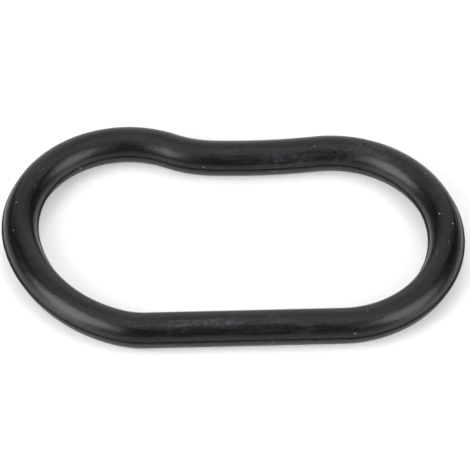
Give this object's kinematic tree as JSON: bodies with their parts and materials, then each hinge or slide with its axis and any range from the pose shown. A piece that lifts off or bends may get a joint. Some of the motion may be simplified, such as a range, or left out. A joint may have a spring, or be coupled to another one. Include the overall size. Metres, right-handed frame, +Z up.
{
  "type": "profile o-ring seal",
  "caption": "Moulded rubber o-ring in a pinched oblong loop, with a long straight front, two round ends of different size and a fin at its parting line.",
  "frame": {"origin": "centre of the loop's outline at the ground plane that the seal lies on", "axes": "+X along the straight side, from the smaller pinched end to the plain round end, +Y from the straight to the pinched side, +Z up out of the groove"},
  "size_m": [0.0817, 0.0492, 0.0065],
  "materials": {
    "rubber": "moulded satin black nitrile rubber"
  },
  "bodies": {
    "root": {"seal_ring": "rubber"}
  },
  "joints": []
}
